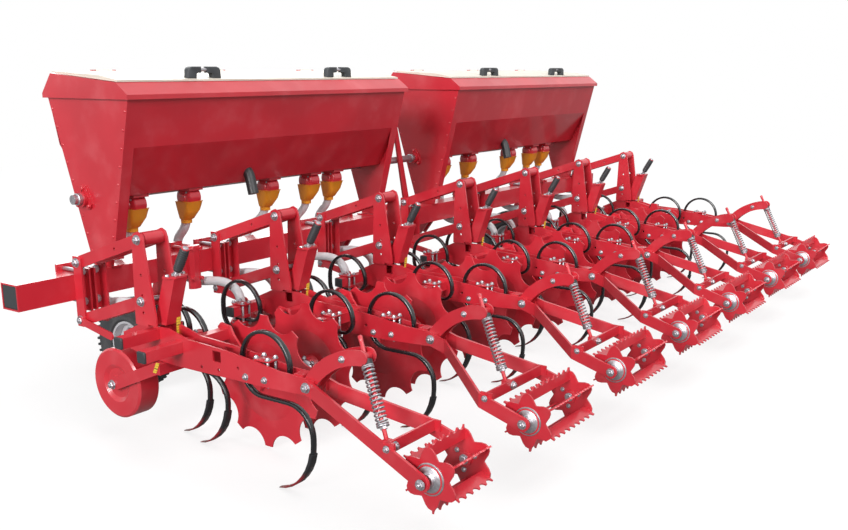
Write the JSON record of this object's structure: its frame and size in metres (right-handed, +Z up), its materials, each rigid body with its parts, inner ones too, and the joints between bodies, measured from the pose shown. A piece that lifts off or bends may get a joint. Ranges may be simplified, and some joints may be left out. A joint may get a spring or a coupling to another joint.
{
  "type": "inter-row cultivator",
  "caption": "Mounted inter-row cultivator with parallelogram row units, spring tines, crop discs, star rollers and two fertiliser hoppers.",
  "frame": {"origin": "on the ground, under the middle of the whole machine's bounding box", "axes": "+X to the right looking forward, +Y in the direction of travel, +Z up"},
  "size_m": [4.8, 2.2862, 1.4115],
  "materials": {
    "black_plastic": "matte moulded black",
    "black_steel": "gloss black paint on spring steel",
    "clear_hose": "translucent milky hose",
    "cream_cover": "glossy cream cover",
    "red_paint": "gloss red paint",
    "rim_grey": "light grey paint",
    "tyre_rubber": "ribbed black rubber",
    "yellow_plastic": "moulded yellow",
    "zinc_steel": "zinc plated"
  },
  "bodies": {
    "frame": {"arch_plates": "red_paint", "bracket_bolts": "zinc_steel", "bracket_clamps": "red_paint", "cross_bars": "red_paint", "delivery_boots": "red_paint", "depth_adjusters": "red_paint", "disc_holders": "red_paint", "drain_spouts": "black_plastic", "drive_shaft": "zinc_steel", "front_tines": "black_steel", "funnels": "yellow_plastic", "hangers": "red_paint", "hitch_frame": "red_paint", "hopper_left": "red_paint", "hopper_right": "red_paint", "hoses": "clear_hose", "link_pins": "zinc_steel", "metering_units": "red_paint", "parallel_links": "red_paint", "rear_tines": "black_steel", "roller_arms": "red_paint", "row_beams": "red_paint", "side_tines": "black_steel", "springs": "zinc_steel", "toolbar": "red_paint", "wheel_legs": "red_paint"},
    "gauge_wheel_1": {"gauge_wheel_1": "red_paint"},
    "gauge_wheel_2": {"gauge_wheel_2": "red_paint"},
    "gauge_wheel_3": {"gauge_wheel_3": "red_paint"},
    "gauge_wheel_4": {"gauge_wheel_4": "red_paint"},
    "gauge_wheel_5": {"gauge_wheel_5": "red_paint"},
    "gauge_wheel_6": {"gauge_wheel_6": "red_paint"},
    "gauge_wheel_7": {"gauge_wheel_7": "red_paint"},
    "roller_1": {"roller_1": "red_paint"},
    "roller_2": {"roller_2": "red_paint"},
    "roller_3": {"roller_3": "red_paint"},
    "roller_4": {"roller_4": "red_paint"},
    "roller_5": {"roller_5": "red_paint"},
    "roller_6": {"roller_6": "red_paint"},
    "roller_7": {"roller_7": "red_paint"},
    "crop_disc_1": {"crop_disc_1": "red_paint"},
    "crop_disc_2": {"crop_disc_2": "red_paint"},
    "crop_disc_3": {"crop_disc_3": "red_paint"},
    "crop_disc_4": {"crop_disc_4": "red_paint"},
    "crop_disc_5": {"crop_disc_5": "red_paint"},
    "crop_disc_6": {"crop_disc_6": "red_paint"},
    "crop_disc_7": {"crop_disc_7": "red_paint"},
    "crop_disc_8": {"crop_disc_8": "red_paint"},
    "crop_disc_9": {"crop_disc_9": "red_paint"},
    "crop_disc_10": {"crop_disc_10": "red_paint"},
    "crop_disc_11": {"crop_disc_11": "red_paint"},
    "crop_disc_12": {"crop_disc_12": "red_paint"},
    "support_wheel_left": {"support_tyre_left": "tyre_rubber", "support_rim_left": "rim_grey"},
    "support_wheel_right": {"support_tyre_right": "tyre_rubber", "support_rim_right": "rim_grey"},
    "lid_left": {"lid_left": "cream_cover", "lid_handles_left": "black_plastic"},
    "lid_right": {"lid_right": "cream_cover", "lid_handles_right": "black_plastic"}
  },
  "joints": [
    {"name": "gauge_wheel_1_turn", "type": "hinge", "parent": "frame", "child": "gauge_wheel_1", "pos_m": [-2.1, 0.461, 0.237], "axis": [1, 0, 0], "continuous": true},
    {"name": "gauge_wheel_2_turn", "type": "hinge", "parent": "frame", "child": "gauge_wheel_2", "pos_m": [-1.4, 0.461, 0.237], "axis": [1, 0, 0], "continuous": true},
    {"name": "gauge_wheel_3_turn", "type": "hinge", "parent": "frame", "child": "gauge_wheel_3", "pos_m": [-0.7, 0.461, 0.237], "axis": [1, 0, 0], "continuous": true},
    {"name": "gauge_wheel_4_turn", "type": "hinge", "parent": "frame", "child": "gauge_wheel_4", "pos_m": [0, 0.461, 0.237], "axis": [1, 0, 0], "continuous": true},
    {"name": "gauge_wheel_5_turn", "type": "hinge", "parent": "frame", "child": "gauge_wheel_5", "pos_m": [0.7, 0.461, 0.237], "axis": [1, 0, 0], "continuous": true},
    {"name": "gauge_wheel_6_turn", "type": "hinge", "parent": "frame", "child": "gauge_wheel_6", "pos_m": [1.4, 0.461, 0.237], "axis": [1, 0, 0], "continuous": true},
    {"name": "gauge_wheel_7_turn", "type": "hinge", "parent": "frame", "child": "gauge_wheel_7", "pos_m": [2.1, 0.461, 0.237], "axis": [1, 0, 0], "continuous": true},
    {"name": "roller_1_turn", "type": "hinge", "parent": "frame", "child": "roller_1", "pos_m": [-2.1, -1.032, 0.249], "axis": [1, 0, 0], "continuous": true},
    {"name": "roller_2_turn", "type": "hinge", "parent": "frame", "child": "roller_2", "pos_m": [-1.4, -1.032, 0.249], "axis": [1, 0, 0], "continuous": true},
    {"name": "roller_3_turn", "type": "hinge", "parent": "frame", "child": "roller_3", "pos_m": [-0.7, -1.032, 0.249], "axis": [1, 0, 0], "continuous": true},
    {"name": "roller_4_turn", "type": "hinge", "parent": "frame", "child": "roller_4", "pos_m": [0, -1.032, 0.249], "axis": [1, 0, 0], "continuous": true},
    {"name": "roller_5_turn", "type": "hinge", "parent": "frame", "child": "roller_5", "pos_m": [0.7, -1.032, 0.249], "axis": [1, 0, 0], "continuous": true},
    {"name": "roller_6_turn", "type": "hinge", "parent": "frame", "child": "roller_6", "pos_m": [1.4, -1.032, 0.249], "axis": [1, 0, 0], "continuous": true},
    {"name": "roller_7_turn", "type": "hinge", "parent": "frame", "child": "roller_7", "pos_m": [2.1, -1.032, 0.249], "axis": [1, 0, 0], "continuous": true},
    {"name": "crop_disc_1_turn", "type": "hinge", "parent": "frame", "child": "crop_disc_1", "pos_m": [-1.865, -0.054, 0.266], "axis": [1, 0, 0], "continuous": true},
    {"name": "crop_disc_2_turn", "type": "hinge", "parent": "frame", "child": "crop_disc_2", "pos_m": [-1.635, -0.054, 0.266], "axis": [1, 0, 0], "continuous": true},
    {"name": "crop_disc_3_turn", "type": "hinge", "parent": "frame", "child": "crop_disc_3", "pos_m": [-1.165, -0.054, 0.266], "axis": [1, 0, 0], "continuous": true},
    {"name": "crop_disc_4_turn", "type": "hinge", "parent": "frame", "child": "crop_disc_4", "pos_m": [-0.935, -0.054, 0.266], "axis": [1, 0, 0], "continuous": true},
    {"name": "crop_disc_5_turn", "type": "hinge", "parent": "frame", "child": "crop_disc_5", "pos_m": [-0.465, -0.054, 0.266], "axis": [1, 0, 0], "continuous": true},
    {"name": "crop_disc_6_turn", "type": "hinge", "parent": "frame", "child": "crop_disc_6", "pos_m": [-0.235, -0.054, 0.266], "axis": [1, 0, 0], "continuous": true},
    {"name": "crop_disc_7_turn", "type": "hinge", "parent": "frame", "child": "crop_disc_7", "pos_m": [0.235, -0.054, 0.266], "axis": [1, 0, 0], "continuous": true},
    {"name": "crop_disc_8_turn", "type": "hinge", "parent": "frame", "child": "crop_disc_8", "pos_m": [0.465, -0.054, 0.266], "axis": [1, 0, 0], "continuous": true},
    {"name": "crop_disc_9_turn", "type": "hinge", "parent": "frame", "child": "crop_disc_9", "pos_m": [0.935, -0.054, 0.266], "axis": [1, 0, 0], "continuous": true},
    {"name": "crop_disc_10_turn", "type": "hinge", "parent": "frame", "child": "crop_disc_10", "pos_m": [1.165, -0.054, 0.266], "axis": [1, 0, 0], "continuous": true},
    {"name": "crop_disc_11_turn", "type": "hinge", "parent": "frame", "child": "crop_disc_11", "pos_m": [1.635, -0.054, 0.266], "axis": [1, 0, 0], "continuous": true},
    {"name": "crop_disc_12_turn", "type": "hinge", "parent": "frame", "child": "crop_disc_12", "pos_m": [1.865, -0.054, 0.266], "axis": [1, 0, 0], "continuous": true},
    {"name": "support_wheel_left_turn", "type": "hinge", "parent": "frame", "child": "support_wheel_left", "pos_m": [-1.675, 0.946, 0.208], "axis": [1, 0, 0], "continuous": true},
    {"name": "support_wheel_right_turn", "type": "hinge", "parent": "frame", "child": "support_wheel_right", "pos_m": [1.675, 0.946, 0.208], "axis": [1, 0, 0], "continuous": true},
    {"name": "lid_left_hinge", "type": "hinge", "parent": "frame", "child": "lid_left", "pos_m": [-1.12, 0.939, 1.393], "axis": [-1, 0, 0], "range_deg": [0, 100]},
    {"name": "lid_right_hinge", "type": "hinge", "parent": "frame", "child": "lid_right", "pos_m": [1.12, 0.939, 1.393], "axis": [-1, 0, 0], "range_deg": [0, 100]}
  ]
}
